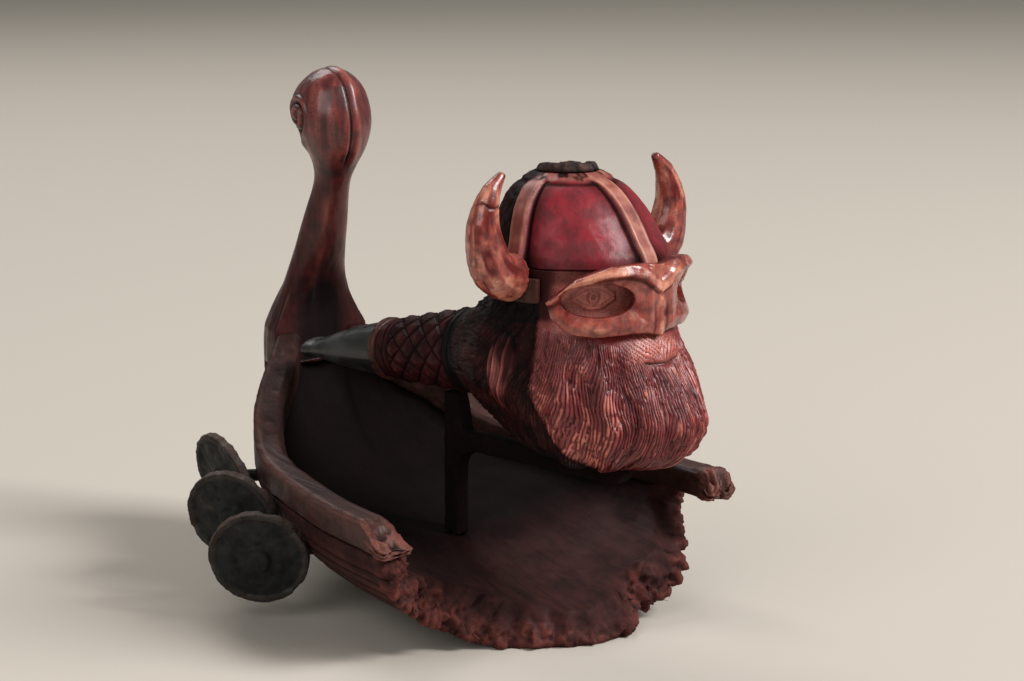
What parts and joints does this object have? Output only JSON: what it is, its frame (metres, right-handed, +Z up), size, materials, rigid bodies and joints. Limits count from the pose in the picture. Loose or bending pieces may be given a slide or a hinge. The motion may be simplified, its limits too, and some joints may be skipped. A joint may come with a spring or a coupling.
{
  "type": "carved tobacco pipe with ship stand",
  "caption": "Carved wooden pipe with a bearded, horned-helmet head as its bowl, lying in a ship-shaped wooden stand with a scrolled stern post and a broken bow.",
  "frame": {"origin": "on the table under the ship's flat bottom, amidships, where the pipe's turn is centred", "axes": "+Z up, -Y towards the broken bow, +Y towards the stern post, -X starboard"},
  "size_m": [0.121, 0.1547, 0.1238],
  "materials": {
    "hull_wood": "satin, dark stain",
    "rail_wood": "satin, dark stain",
    "post_wood": "polished red-brown",
    "shield_wood": "matt black stain",
    "head_wood": "carved, waxed",
    "helmet_wood": "crimson stain",
    "guard_wood": "varnished",
    "peg_wood": "bare",
    "char": "charred",
    "stem": "polished"
  },
  "bodies": {
    "ship_stand": {"hull": "hull_wood", "rail_starboard": "rail_wood", "rail_port": "rail_wood", "stern_post": "post_wood", "post_dowel_starboard": "peg_wood", "post_dowel_port": "peg_wood", "shield_starboard_fore": "shield_wood", "shield_peg_starboard_fore": "peg_wood", "shield_starboard_mid": "shield_wood", "shield_peg_starboard_mid": "peg_wood", "shield_starboard_aft": "shield_wood", "shield_peg_starboard_aft": "peg_wood", "shield_port_fore": "shield_wood", "shield_peg_port_fore": "peg_wood", "shield_port_mid": "shield_wood", "shield_peg_port_mid": "peg_wood", "shield_port_aft": "shield_wood", "shield_peg_port_aft": "peg_wood", "rest_post": "hull_wood", "rest_dowel": "peg_wood"},
    "stem": {"mouthpiece": "stem", "tenon": "stem"},
    "pipe_bowl": {"pipe_block": "head_wood", "helmet": "helmet_wood", "brow_band": "head_wood", "spectacle_guard": "guard_wood", "horn_right": "guard_wood", "horn_left": "guard_wood", "horn_peg_right": "peg_wood", "horn_peg_left": "peg_wood", "bowl_liner": "char", "shank_ring": "head_wood"}
  },
  "joints": [
    {"name": "pipe_lift", "type": "slide", "parent": "ship_stand", "child": "stem", "axis": [0.0594, -0.3368, 0.9397], "range_m": [0, 0.12]},
    {"name": "tenon_draw", "type": "slide", "parent": "stem", "child": "pipe_bowl", "axis": [0.1723, -0.9773, 0.1236], "range_m": [0, 0.0195]}
  ]
}
